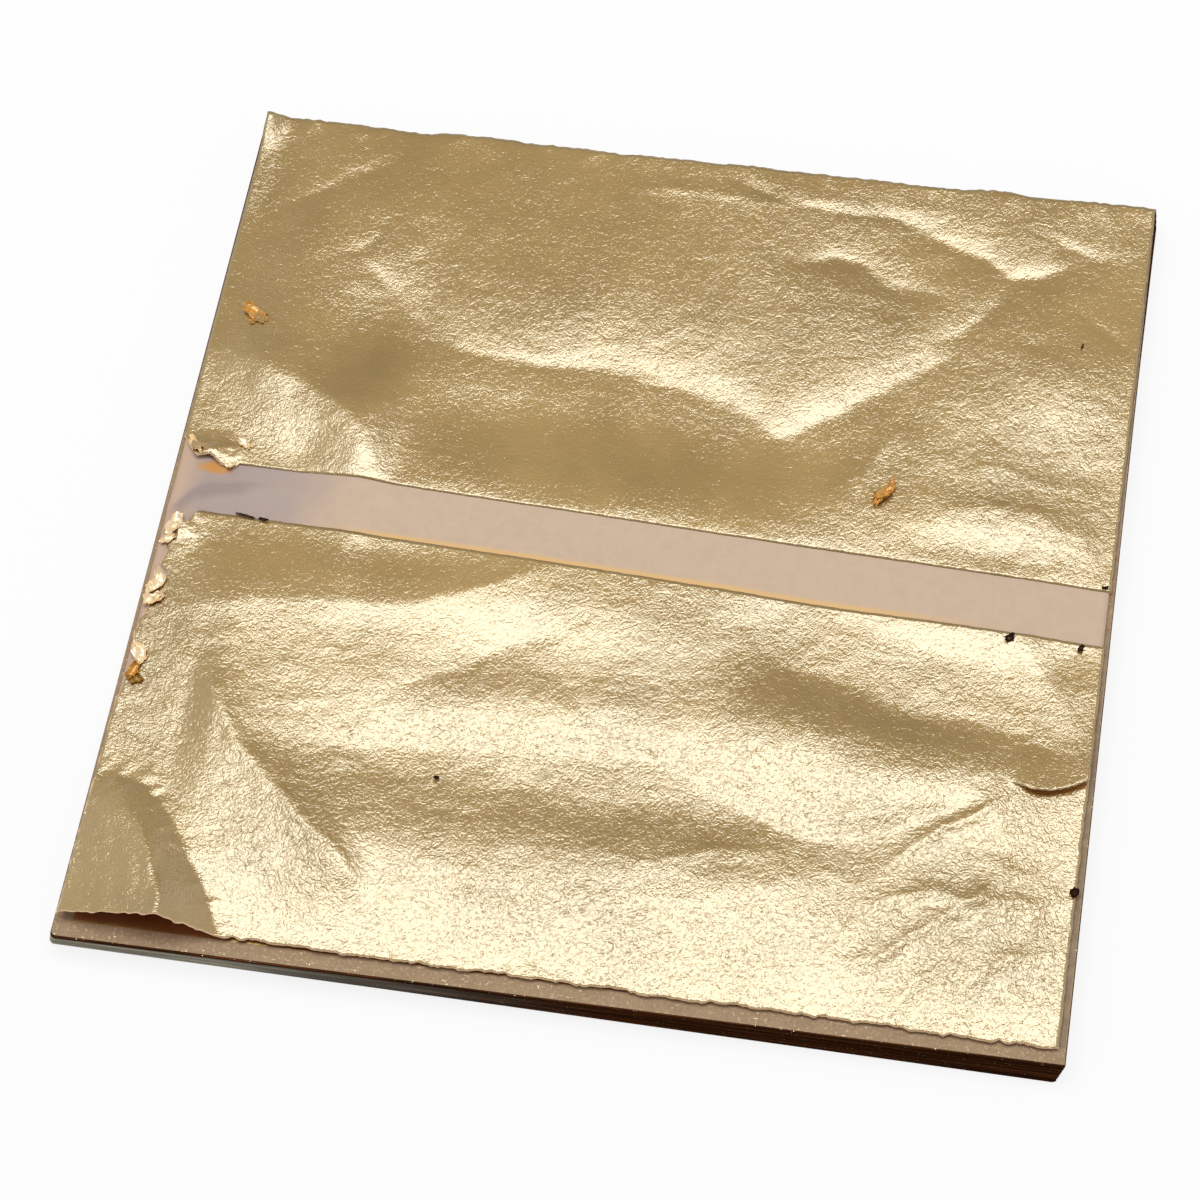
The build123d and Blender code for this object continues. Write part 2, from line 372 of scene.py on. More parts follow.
# x and y of the middle, half width, half depth, how much more crumpled
CRUSHED = [
    (-8, 38, 30, 8, 0.55), (22, 46, 20, 14, 0.5), (55, 24, 20, 26, 0.6),
    (-56, 12, 14, 9, 0.5), (-46, 42, 12, 10, 0.3), (30, 65, 40, 6, 0.5),
    (0, -38, 90, 28, 0.7), (-5, 15, 30, 9, -0.3), (64, 50, 8, 10, -0.4),
    (-40, -10, 28, 7, -0.6), (67, -12, 6, 6, -0.6), (55, -56, 16, 12, 0.7),
    (-66, -26, 6, 12, 0.8), (-69, 62, 2.5, 10, 1.2), (0, -62, 60, 12, 0.3),
    (-62, -60, 9, 11, 0.3),
]


def strip_edge(x, side):
    """y of the bare strip's far edge, side 1, or near edge, side -1: a straight line, slightly tilted."""
    return x * tan(STRIP_TILT) - STRIP_DROP + side * STRIP_WIDTH / 2


def crush_amount(x, y):
    """How crumpled the leaf is: the usual amount, the bells of the crushed places and a patchy noise, added."""
    places = sum(bell(x, y, *place) for place in CRUSHED)
    patches = PATCH * lattice_noise(x, y, PATCH_SIZE, seed=41)
    return np.clip(CRUSH_USUAL + places + patches, CRUSH_LEAST, CRUSH_MOST)


def crumple(x, y):
    """Creases of two sizes that the tissue and its leaf share, times the crush."""
    coarse = COARSE * creased_noise(x, y, COARSE_SIZE, seed=51)
    middle = MIDDLE * creased_noise(x * PACKED, y, MIDDLE_SIZE, seed=61)
    return (coarse + middle) * crush_amount(x, y)


def fine_crumple(x, y):
    """The finest creases, which only the leaf has. They rise from the tissue and never dip into it."""
    return FINE * creased_noise(x * PACKED, y, FINE_SIZE, seed=71) * crush_amount(x, y) + gathers(x, y)


print("crush across the near half:", np.round(crush_amount(sample, 0 * sample - 40), 2))

# %% [markdown]
# The sheet's edges lie almost on the paper below. At the far left corner the leaf stands up in a crumpled peak,
# and along the far edge it is rucked. The bare strip is smooth, with a pinched crease at its left end.

# %% The whole relief
PINCH = [(-72, -6), (-69.2, -3.7), (-65.6, 0.2), (-63, 1.2), (-60, 1.9), (-54, 2.2)]
PINCH_HEIGHT, PINCH_FAR, PINCH_NEAR = 1.0, 1.2, 0.6
BARE_FADE, BARE_OVER, BARE_SMOOTH = 2.0, 1.5, 0.93
CALM, CALM_WIDTH, FAR_FREE = 0.45, 14.0, 8.0  # share left of the folds at the near and side edges
ROUGH_CALM = 0.35
FOLD_BASE, FOLD_BASE_BEND = 0.9, 0.3  # folds are raised, so that valleys stay over the page
PEAK = (0.5 - HALF, HALF, 2.0, 4.5, 1.6)  # a bell's middle, half width, half depth and height
RUCK, RUCK_REACH, RUCK_SIZE, RUCK_DRAWN = 0.25, 3.0, 3.4, 0.4
AIR = 0.02


def bare(x, y):
    """1 in the bare strip, 0 outside it: the product of a smooth step at either edge."""
    under_far_edge = smooth_step((strip_edge(x, 1) + BARE_OVER - y) / BARE_FADE)
    over_near_edge = smooth_step((y - strip_edge(x, -1) + BARE_OVER) / BARE_FADE)
    return under_far_edge * over_near_edge


def pinched(x, y):
    """The pinched crease at the strip's left end, 1 on its crest."""
    return fold_height(x, y, PINCH_HEIGHT, PINCH_FAR, PINCH_NEAR, PINCH) * bare(x, y)


def relief(x, y):
    """Height of the top sheet's underside over the page below, in mm: folds, swells and crumpling, all calmer
    near the edges, plus peak, rucks, pinched crease and lifted corner."""
    from_edge = np.minimum.reduce([HALF - np.abs(x), y + HALF, HALF - y + FAR_FREE])
    inside = CALM + (1 - CALM) * smooth_step(from_edge / CALM_WIDTH)
    waves = soft_larger(long_waves(x, y) + FOLD_BASE, 0 * x, FOLD_BASE_BEND) * inside
    rough = crumple(x, y) * (ROUGH_CALM + (1 - ROUGH_CALM) * inside) * (1 - BARE_SMOOTH * bare(x, y))
    far_edge = RUCK * np.exp(-(((y - HALF) / RUCK_REACH) ** 2))
    rucks = far_edge * creased_noise(x, y * RUCK_DRAWN, RUCK_SIZE, seed=83)
    return waves + rough + bell(x, y, *PEAK) + rucks + pinched(x, y) + corner_lift(x, y) + AIR


print("relief across the near half:", np.round(relief(sample, 0 * sample - 40), 2), "mm")

# %% [markdown]
# ## The top tissue
#
# The tissue is a square of thin paper that carries the leaf. It could be draped by simulation, but its folds have
# their places, so a grid is lifted by the relief and closed to the thickness of paper. It ends a little inside the
# packed sheet's edge.

# %% Top tissue
TISSUE = 0.035
TISSUE_POINTS = 200
SET_BACK = 0.3


def placed(x, y, z):
    """A grid measured on the top sheet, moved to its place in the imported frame."""
    return x + TOP_MIDDLE[0], y + TOP_MIDDLE[1], z + TOP_MIDDLE[2]


steps = np.linspace(-1, 1, TISSUE_POINTS)
flat_x, flat_y = np.meshgrid(steps * (HALF - SET_BACK), steps * (HALF - SET_BACK))
tissue_height = relief(flat_x, flat_y)
tissue_mesh = slab_mesh("top_tissue_sheet", *placed(flat_x, flat_y, tissue_height + TISSUE), TISSUE)
mark(tissue_mesh, "pinch", pinched(flat_x, flat_y))
tissue = piece("top_tissue_sheet", tissue_mesh, "page_001", "pale_tissue", "top_tissue")

# %% [markdown]
# ## The top leaf
#
# Each half of the leaf is a grid stretched between four curves: the cut edge along the strip, the sheet's own
# edges, and the torn places at the left. So a ragged edge is a row of real vertices and not a picture of one.

# %% Edges of the two halves
RAGS = [(0.6, 1.1, 0), (0.4, 0.55, 1)]  # share, size and seed of the two noises of a ragged line
CUT_RAG, SIDE_RAG, TORN_RAG = 0.05, 0.12, 1.0
FAR_RAG, FAR_WAVE, FAR_SIZE = 0.20, 0.35, 6.5
NEAR_RAG, NEAR_WAVE, NEAR_SIZE = 0.42, 0.12, 5.0
NEAR_OVER, SIDE_UNDER = 0.05, 0.1  # over the near edge by this, short of the right edge by that
WEAR_ROWS, WEAR_POWER = 60, 40  # noise along a side, and how close the wear keeps
TORN_FOOT, TORN_HEAD, TORN_Y, TORN_FADE = 0.14, 0.44, -38, 4

TORN_FAR = np.array([(-70.0, 9.9), (-68.9, 8.4), (-67.3, 6.4), (-65.1, 6.9), (-63.2, 5.4), (-61.0, 5.3)])
TORN_NEAR = np.array([
    (-35.8, -70), (-33.6, -69.4), (-28.4, -68.8), (-24, -69.9), (-19.2, -68.9), (-16, -69.6),
    (-13.9, -67), (-12.6, -68.6), (-6.2, -67.5), (-3.4, -65.3), (-2.4, -64.2),
])


def ragged(t, depth, seed):
    """A ragged line: two sizes of noise along t, in mm."""
    return depth * sum(share * lattice_noise(t, 0 * t, size, seed + more) for share, size, more in RAGS)


def far_half_grid(columns, rows):
    """Grid of the far half: from the strip, or the tear at its left, to the far edge."""
    u, v = np.meshgrid(np.linspace(0, 1, columns), np.linspace(0, 1, rows))
    x = -HALF + SIDE * u
    tear = np.interp(x, TORN_FAR[:, 0], TORN_FAR[:, 1])
    near = np.where(x < TORN_FAR[-1, 0], tear, strip_edge(x, 1)) + ragged(x, CUT_RAG, seed=5)
    far = HALF + ragged(x, FAR_RAG, seed=7) + FAR_WAVE * lattice_noise(x, 0 * x, FAR_SIZE, seed=8)
    side_wear = (ragged(v * WEAR_ROWS, SIDE_RAG, seed=9) - SIDE_UNDER) * np.abs(2 * u - 1) ** WEAR_POWER
    return x + side_wear * np.sign(u - 0.5), near + (far - near) * v


def near_half_grid(columns, rows):
    """Grid of the near half: from the near edge to the strip, with its torn left side."""
    u, v = np.meshgrid(np.linspace(0, 1, columns), np.linspace(0, 1, rows))
    wave = NEAR_WAVE * lattice_noise(SIDE * u, 0 * u, NEAR_SIZE, seed=12)
    near = -HALF - NEAR_OVER + ragged(SIDE * u, NEAR_RAG, seed=11) + wave
    far = strip_edge(-HALF + SIDE * u, -1) + ragged(SIDE * u, CUT_RAG, seed=13)
    y = near + (far - near) * v
    torn = TORN_FOOT + (TORN_HEAD - TORN_FOOT) * smooth_step((y - TORN_Y) / TORN_FADE)
    left = np.interp(y, TORN_NEAR[:, 0], TORN_NEAR[:, 1], left=-HALF) + ragged(y, TORN_RAG, seed=15) * torn
    right = HALF + ragged(y, SIDE_RAG, seed=17) - SIDE_UNDER
    return left + (right - left) * u, y


LEAF_POINTS = (297, 139)
far_x, far_y = far_half_grid(*LEAF_POINTS)
near_x, near_y = near_half_grid(*LEAF_POINTS)
print("the far half begins at y", round(far_y.min(), 1), "and the near half at", round(near_y.min(), 1))

# %% [markdown]
# Near the right edge the leaf is pleated: the part behind lies over the part in front, with a lip that stands a
# little proud. The grid's rows are carried forward over the lip's line and back under it, which makes an S.

# %% The pleat
PLEAT_LEFT, PLEAT_Y = 58.0, -30.6
PLEAT_SAG, PLEAT_RISE = 1.33, 1.9
PLEAT_GROWTH = 5.0
LIP_HEIGHT, LIP_REACH = 1.5, 1.7
LIP_TURN, LIP_WIDTH, LIP_FRONT, LIP_FALL = 0.5, 2.2, 1.4, 5.0
RIM_SHIFT, RIM_WIDTH, RIM_GROWTH = 0.3, 0.4, 3.0


def pleat_line(x):
    """y of the pleat's lip: a shallow hanging curve that rises to the right edge, -4 sag t (1 - t) + rise t^2."""
    t = (x - PLEAT_LEFT) / (HALF - PLEAT_LEFT)
    return PLEAT_Y - PLEAT_SAG * 4 * t * (1 - t) + PLEAT_RISE * t * t


def pleat(x, y):
    """How far a point is moved forward and up: an S across the line, growing in from the lip's left end."""
    grown = smooth_step((x - PLEAT_LEFT) / PLEAT_GROWTH)
    across = y - pleat_line(x)
    forward = LIP_REACH * np.tanh(across / LIP_TURN) * np.exp(-((across / LIP_WIDTH) ** 2))
    rise = LIP_HEIGHT * smooth_step(across / LIP_FRONT + 0.5) * np.exp(-np.maximum(across, 0) / LIP_FALL)
    return forward * grown, rise * grown


def lip_painted_reflection(x, y):
    """1 along the front of the pleat's lip, where a peach reflection is painted, dying away over a third of a
    millimetre.
    """
    off_rim = (y - pleat_line(x) - RIM_SHIFT) / RIM_WIDTH
    return np.exp(-(off_rim ** 2)) * smooth_step((x - PLEAT_LEFT) / RIM_GROWTH)


print("the lip ends at y", round(pleat_line(HALF), 1))

# %% [markdown]
# The leaf lies on the tissue with a hair of air under it, a little more in the lifted corner's crease, where it
# puffs up. At the torn places it has come off the tissue and curls.

# %% Leaf halves on the top sheet
LEAF = 0.010
LEAF_CLEAR = 0.06
CREASE_PUFF = 0.5
CURLS = [(-65.5, 7.5, 4.0, 2.2, 0.9), (-66.5, -5.0, 2.5, 5.0, 0.5)]  # bells at the two tears
CURL_EVEN, CURL_CREASED, CURL_SIZE = 0.6, 0.6, 1.6
RIM_EVEN, RIM_PATCHY, RIM_SIZE = 0.75, 0.6, 1.3


def leaf_slab(name, x, y, extra, rim, *stands_for):
    """A half leaf that lies on the top tissue, with extra height of its own and a rim with a painted peach
    reflection.
    Its clearance grows by t exp(1 - t) in the crease, where t is the lift over the puff's height."""
    lift = np.maximum(corner_lift(x, y), 0) / CREASE_PUFF
    clear = LEAF_CLEAR * (1 + lift * np.exp(1 - lift))
    height = relief(x, y) + fine_crumple(x, y) + TISSUE + clear + LEAF
    forward, rise = pleat(x, y)
    mesh = slab_mesh(name, *placed(x, y - forward, height + rise + extra), LEAF)
    mark(mesh, "crush", crush_amount(x, y))
    mark(mesh, "rim", np.maximum(rim, lip_painted_reflection(x, y)))
    return piece(name, mesh, "page_001", "metal_leaf", *stands_for)


def first_row(grid):
    """A grid that is 1 in its first row and 0 elsewhere."""
    row = np.zeros_like(grid)
    row[0] = 1
    return row


def curled_edge(x, y):
    """Lift of the leaf along its torn places: a bell at each tear, creased."""
    creased = CURL_EVEN + CURL_CREASED * creased_noise(x, y, CURL_SIZE, seed=91)
    return sum(bell(x, y, *curl) for curl in CURLS) * creased


# The torn rims of both halves and the pleat's lip get a painted peach reflection, as of light bounced between the
# leaves.
far_painted_reflection = first_row(far_x) * (far_x < TORN_FAR[-1, 0])
far_leaf = leaf_slab("top_leaf_far", far_x, far_y, curled_edge(far_x, far_y), far_painted_reflection, "top_leaf_far_half")
left_painted_reflection = first_row(near_x.T).T * (RIM_EVEN + RIM_PATCHY * lattice_noise(near_y, near_x, RIM_SIZE, seed=93))
near_painted_reflection = np.maximum(first_row(near_x), left_painted_reflection)
near_curl = curled_edge(near_x, near_y)
near_leaf = leaf_slab("top_leaf_near", near_x, near_y, near_curl, near_painted_reflection, "top_leaf_near_half")

# %% [markdown]
# ## Loose scraps
#
# Where leaf tears, small scraps curl up and roll about. Each is a little grid pulled to a ragged outline, bent up
# at its ends and crumpled. Its faces stay flat, as crushed foil has sharp facets.

# %% Where the scraps lie
# x, y, length, width, turn in degrees, rise of the ends in mm, painted tone from 0 (bright) to 1 (dark)
SCRAPS = [
    (-64, 32.6, 4.6, 2.2, -38, 0.8, 0.44),
    (-62.9, 31.5, 3.2, 1.3, 25, 0.6, 0.5),
    (35.6, 13.8, 5.4, 1.6, 62, 0.7, 0.42),
    (35.2, 13.2, 3, 1.3, 15, 0.8, 0.5),
    (-68.3, -30.6, 2.8, 1.6, 70, 0.7, 0.66),
    (-67.8, -32, 2.4, 1.3, 10, 0.5, 0.76),
    (-57.6, -2.9, 2.8, 0.5, -12, 0.3, 0.92),
    (-54.8, -3.3, 1.6, 0.6, -5, 0.4, 0.96),
    (-68.4, -15.8, 4.2, 2.2, 70, 0.9, 0.05),
    (-67.9, -18.4, 3.6, 1.8, 30, 0.7, 0.12),
    (-68.2, -27.6, 3.6, 2, -60, 0.8, 0.05),
    (-68, -5.6, 3.8, 2, 72, 0.6, 0.08),
    (-68.4, -8.2, 2.4, 1.2, 30, 0.5, 0.18),
    (-67.8, 8.4, 3.6, 1.3, -48, 0.9, 0.05),
    (-65.4, 7.6, 3.8, 1.7, -20, 0.8, 0.04),
    (-62.4, 6.4, 3.4, 1.6, -48, 0.7, 0.04),
    (-60.6, 9.6, 2.4, 1.2, -42, 0.6, 0.06),
    (56.3, -7.9, 1.5, 0.9, 20, 0.5, 0.95),
    (66.6, -8.2, 1.2, 0.8, 70, 0.4, 0.95),
    (69, 2.3, 0.9, 0.5, 10, 0.3, 1),
    (69.6, -46.7, 1.5, 1.1, 80, 0.5, 1),
    (-21.3, -41.5, 0.8, 0.6, 0, 0.3, 1),
    (61.5, 43.1, 1.1, 0.3, 75, 0.2, 1),
]
print(len(SCRAPS), "scraps")

# %% Their shapes
SCRAP_POINTS = 11
SCRAP_SEED, SEED_STEP = 200, 5
ROUND_OFF = 0.5  # 0.5 turns the square grid into a disc
REACH_NOISE, REACH_TURNS, REACH_SIZE = 0.30, 3, 0.9
BEND_LONG, BEND_WIDE, BEND_NOISE, BEND_SIZE = 0.6, 0.4, 0.5, 1.1
SCRAP_CREASE, CREASE_SIZE = 0.45, 1.3


def scrap_points(x, y, length, width, turn, rise, seed):
    """Grid of one scrap: a square pulled to a ragged round outline, ends bent up by the squares of the distances
    along and across, crossed by creases."""
    u, v = np.meshgrid(np.linspace(-1, 1, SCRAP_POINTS), np.linspace(-1, 1, SCRAP_POINTS))
    round_off = np.sqrt(1 - ROUND_OFF * np.minimum(u * u, v * v))
    angle = np.arctan2(v, u)
    ring_x, ring_y = REACH_TURNS * np.cos(angle) + 9, REACH_TURNS * np.sin(angle) + 9
    reach = 1 + REACH_NOISE * lattice_noise(ring_x, ring_y, REACH_SIZE, seed)
    a, b = u * round_off * reach * length / 2, v * round_off * reach * width / 2
    uneven = BEND_NOISE * lattice_noise(a + 20, b + 20, BEND_SIZE, seed + 1)
    bend = rise * (BEND_LONG * u * u + BEND_WIDE * v * v + uneven)
    creases = SCRAP_CREASE * rise * creased_noise(a + 30, b + 30, CREASE_SIZE, seed + 2)
    across = x + a * cos(turn) - b * sin(turn)
    away = y + a * sin(turn) + b * cos(turn)
    ground = relief(across, away) + TISSUE + 2 * LEAF_CLEAR + 2 * LEAF
    return placed(across, away, ground + np.maximum(bend + creases, 0))


def scrap_parts():
    """Points, faces and painted tone of every scrap, one after the other."""
    points, quads, painted_tones, count = [], [], [], 0
    for number, (x, y, length, width, turn, rise, painted_tone) in enumerate(SCRAPS):
        seed = SCRAP_SEED + SEED_STEP * number
        top = np.stack(scrap_points(x, y, length, width, radians(turn), rise, seed), -1).reshape(-1, 3)
        both, faces = closed_slab(top, (SCRAP_POINTS, SCRAP_POINTS), 2 * LEAF)
        points.append(both)
        quads.append(faces + count)
        painted_tones.append(np.full(len(both), painted_tone))
        count += len(both)
    return np.concatenate(points), np.concatenate(quads), np.concatenate(painted_tones)


scrap_at, scrap_quads, scrap_painted_tone = scrap_parts()
scrap_mesh = mesh_from("loose_scraps", scrap_at, scrap_quads)
mark(scrap_mesh, "painted_tone", scrap_painted_tone)
mark(scrap_mesh, "crush", np.zeros(len(scrap_at)))
scrap_mesh.polygons.foreach_set("use_smooth", np.zeros(len(scrap_quads), bool))
scraps = piece("loose_scraps", scrap_mesh, "page_001", "metal_leaf", "loose_flakes")

# %% [markdown]
# ## Shader maths as expressions
#
# A class that wraps a socket lets materials be written as ordinary sums. Every operator adds one Math node.
# Any other node comes from one method that takes the node's type, its settings and its inputs.

# %% A socket that can be added and multiplied
class Wire:
    """A value in a material: wraps a node's output socket."""

    def __init__(self, finish, socket):
        self.finish, self.socket = finish, socket

    def math(self, operation, first, second):
        """The result of one Math node on two values."""
        return self.finish.node("ShaderNodeMath", {"operation": operation}, {0: first, 1: second})

    def __add__(self, other):
        return self.math("ADD", self, other)

    def __sub__(self, other):
        return self.math("SUBTRACT", self, other)

    def __rsub__(self, other):
        return self.math("SUBTRACT", other, self)

    def __mul__(self, other):
        return self.math("MULTIPLY", self, other)

    def __abs__(self):
        return self.math("ABSOLUTE", self, 0.0)

    __radd__, __rmul__ = __add__, __mul__

    def above(self, edge, width):
        """0 below edge, 1 above edge + width, smooth between."""
        inputs = {"Value": self, "From Min": edge, "From Max": edge + width}
        return self.finish.node("ShaderNodeMapRange", {"interpolation_type": "SMOOTHSTEP"}, inputs)

# %% A material and its nodes
class Finish:
    """The nodes of one material, or of the world. Lengths are in mm."""

    def __init__(self, material):
        self.material = material
        self.material.use_nodes = True
        self.tree = self.material.node_tree
        self.tree.nodes.clear()
        self.place = self.node("ShaderNodeTexCoord", {}, {}, "Object")

    def node(self, kind, settings, inputs, output=0):
        """Adds a node: its settings first, then the values or links of its sockets."""
        made = self.tree.nodes.new(kind)
        for key, value in settings.items():
            setattr(made, key, value)
        for key, value in inputs.items():
            if isinstance(value, Wire):
                self.tree.links.new(value.socket, made.inputs[key])
            else:
                made.inputs[key].default_value = value
        return Wire(self, made.outputs[output])

    def axis(self, vector, number):
        """One number of a vector: 0 for x, 1 for y, 2 for z."""
        return self.node("ShaderNodeSeparateXYZ", {}, {0: vector}, number)

    def in_mm(self, number):
        """x, y or z of the place in mm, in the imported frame."""
        return self.axis(self.place, number) * (1 / MM)

    def position(self):
        """x and y in mm from the middle of the top sheet."""
        return [self.in_mm(i) - TOP_MIDDLE[i] for i in (0, 1)]

    def attribute(self, name):
        """A number stored on the mesh's points, 0 where the mesh has none of that name."""
        return self.node("ShaderNodeAttribute", {"attribute_name": name}, {}, "Fac")

    def facing_up(self):
        """1 on a surface that faces up, 0 on an upright one and -1 on an underside."""
        return self.axis(self.node("ShaderNodeNewGeometry", {}, {}, "True Normal"), 2)

    def noise(self, size, detail=3.0, roughness=0.5, warp=0.0):
        """Soft noise from 0 to 1 with features of a size in mm."""
        inputs = {"Vector": self.place, "Scale": 1 / (size * MM), "Detail": detail, "Roughness": roughness}
        return self.node("ShaderNodeTexNoise", {}, {**inputs, "Distortion": warp}, "Fac")

    def creases(self, size, warp):
        """1 - |4 noise - 2|: 1 on sharp creases, falling to 0 between them, the same shape as creased_noise."""
        return 1 - abs(self.noise(size, 1.0, 0.4, warp) * 4 - 2)

    def cells(self, size):
        """Distance to the nearest of scattered points, from 0 to about 1."""
        return self.node("ShaderNodeTexVoronoi", {}, {"Vector": self.place, "Scale": 1 / (size * MM)}, "Distance")

    def mix(self, share, first, second):
        """A colour between two: first where share is 0, second where it is 1."""
        return self.node("ShaderNodeMix", {"data_type": "RGBA"}, {0: share, 6: first, 7: second}, 2)

    def layers(self, colour, *over):
        """A colour with others over it, each given as its share and the colour."""
        for share, tint in over:
            colour = self.mix(share, colour, tint)
        return colour

    def bump(self, height):
        """A normal tilted as if the surface had this height in mm."""
        return self.node("ShaderNodeBump", {}, {"Height": height, "Distance": MM, "Strength": 1.0}, "Normal")

    def surface(self, inputs):
        """Ends the material in a Principled shader with these inputs."""
        return self.finish_with(self.node("ShaderNodeBsdfPrincipled", {}, inputs))

    def finish_with(self, shader, output="ShaderNodeOutputMaterial"):
        """Joins a shader to the output, and returns the material or world."""
        out = self.tree.nodes.new(output)
        self.tree.links.new(shader.socket, out.inputs["Surface"])
        print(self.material.name, "has", len(self.tree.nodes), "nodes")
        return self.material

# %% [markdown]
# ## The leaf's finish
#
# Leaf shines in two ways: its grain scatters a broad, deep yellow light, and a paler gleam shows where the lamp is
# mirrored. So the finish mixes two metals over one bump: a rough yellow one, with a small share of a sharp pale
# one. The grain is creases of one millimetre, of half of one, and a fine tooth, stronger where leaf is crumpled.
# Painted on it: the metal's back orange-brown, a painted shade with warm bounce, and its torn rims a painted peach
# reflection. Scraps go from a pale painted highlight through an orange painted reflection to a near black painted
# shade.

# %% Metal leaf
GOLD = (0.470, 0.312, 0.108, 1)
GOLD_DEEP = (0.408, 0.262, 0.082, 1)
GLEAM = (0.95, 0.95, 0.80, 1)
LEAF_PAINTED_RIM_REFLECTION = (1.000, 0.680, 0.400, 1)
LEAF_BACK_PAINTED_SHADE = (0.500, 0.200, 0.045, 1)
LEAF_PAINTED_HIGHLIGHT = (1.000, 0.800, 0.520, 1)
LEAF_PAINTED_BOUNCE = (0.760, 0.410, 0.070, 1)
LEAF_PAINTED_SHADE = (0.050, 0.020, 0.010, 1)
GLEAM_SHARE, GLEAM_ROUGH = 0.20, 0.10
YELLOW_ROUGH, ROUGH_CLOUD, ROUGH_SIZE = 0.55, 0.14, 9.0
GRAIN = [(1.3, 1.0, 0.026), (0.60, 0.8, 0.021)]  # size of the creases in mm, warp, height in mm
TOOTH, TOOTH_SIZE = 0.024, 0.32
LEAF_DENT, LEAF_DENT_MM = 0.075, 3.4
SMOOTH_GRAIN = 0.3  # the grain's share where nothing is crushed


def golden(leaf):
    """The leaf's own colour: two golds in soft clouds of 16 mm."""
    return leaf.mix(leaf.noise(16.0, 4.0, 0.6).above(0.35, 0.35), GOLD, GOLD_DEEP)


def leaf_finish():
    """The top leaf and the scraps."""
    leaf = Finish(bpy.data.materials.new("metal_leaf"))
    # The scraps' tone is painted light: a pale painted highlight, an orange painted reflection between folds, near
    # black painted shade at holes.
    painted_tone = leaf.attribute("painted_tone")
    # rim: the share of the painted peach reflection on torn edges and the pleat's lip
    rim = leaf.attribute("rim").above(0.35, 0.5)
    upward = leaf.facing_up().above(-0.3, 0.3)
    # The underside is painted orange-brown: a painted shade with warm light bounced from the paper below.
    colour = leaf.mix(upward, LEAF_BACK_PAINTED_SHADE, leaf.layers(
        golden(leaf), (painted_tone.above(0.0, 0.04), LEAF_PAINTED_HIGHLIGHT), (painted_tone.above(0.15, 0.30), LEAF_PAINTED_BOUNCE), (rim, LEAF_PAINTED_RIM_REFLECTION),
        (painted_tone.above(0.6, 0.35), LEAF_PAINTED_SHADE)))
    grain = sum(leaf.creases(size, warp) * height for size, warp, height in GRAIN)
    tooth = leaf.noise(TOOTH_SIZE, 2.0, 0.6, 0.6) * TOOTH
    dents = leaf.noise(LEAF_DENT_MM, 2.0, 0.55, 0.6) * LEAF_DENT
    normal = leaf.bump((grain + tooth + dents) * (leaf.attribute("crush") + SMOOTH_GRAIN))
    roughness = YELLOW_ROUGH + leaf.noise(ROUGH_SIZE, 3.0, 0.6) * ROUGH_CLOUD
    metal = {"Metallic": 1.0, "Normal": normal}
    yellow = leaf.node("ShaderNodeBsdfPrincipled", {}, {**metal, "Base Color": colour, "Roughness": roughness})
    pale = leaf.node("ShaderNodeBsdfPrincipled", {}, {**metal, "Base Color": GLEAM, "Roughness": GLEAM_ROUGH})
    share = upward * (1 - painted_tone) * GLEAM_SHARE
    return leaf.finish_with(leaf.node("ShaderNodeMixShader", {}, {0: share, 1: yellow, 2: pale}))


gold_leaf = leaf_finish()

# %% [markdown]
# The leaf inside the pack lies flat and is smoother. Its outer edges are rubbed dull and dusty, like the paper.

# %% Leaf between the papers
PAPER = (0.430, 0.305, 0.190, 1)
LEAF_DUSTY = (0.300, 0.215, 0.140, 1)
DULL_EDGE, DULL_FADE, WEAR = 1.9, 0.7, 0.8
PRESSED_ROUGH, DULL_ROUGH = 0.40, 0.3
PRESSED_GRAIN, LEAF_WAVE, WAVE_SIZE = 0.008, 0.10, 5.0


def pressed_finish():
    """The flat leaf of the pages below: metal in the middle, dull dust in the outer millimetre and a half."""
    leaf = Finish(bpy.data.materials.new("pressed_leaf"))
    x, y = leaf.position()
    wear = leaf.noise(1.2, 4.0, 0.6) * WEAR
    dull = (abs(x) + wear).above(HALF - DULL_EDGE, DULL_FADE)
    colour = leaf.mix(dull, golden(leaf), leaf.mix(wear.above(0.3, 0.3), LEAF_DUSTY, PAPER))
    size, warp, height = GRAIN[0]
    flat_grain = leaf.creases(size, warp) * PRESSED_GRAIN
    normal = leaf.bump(flat_grain + leaf.noise(WAVE_SIZE, 2.0) * LEAF_WAVE)
    rough = PRESSED_ROUGH + leaf.noise(ROUGH_SIZE, 3.0, 0.6) * ROUGH_CLOUD + dull * DULL_ROUGH
    return leaf.surface({"Base Color": colour, "Metallic": 1 - dull, "Roughness": rough, "Normal": normal})


pressed_leaf = pressed_finish()

# %% [markdown]
# ## Paper finishes
#
# The top tissue is a pale, slightly waxy sheet with faintly cloudy fibres. A warm line is painted along the bare
# strip's near edge and a glow under the far tear, both painted light bounced from the leaf. The strip's left end is
# painted lilac, a painted reflection, with a painted shade along the pinched crease, and the underside is painted a
# deep red-brown shade.

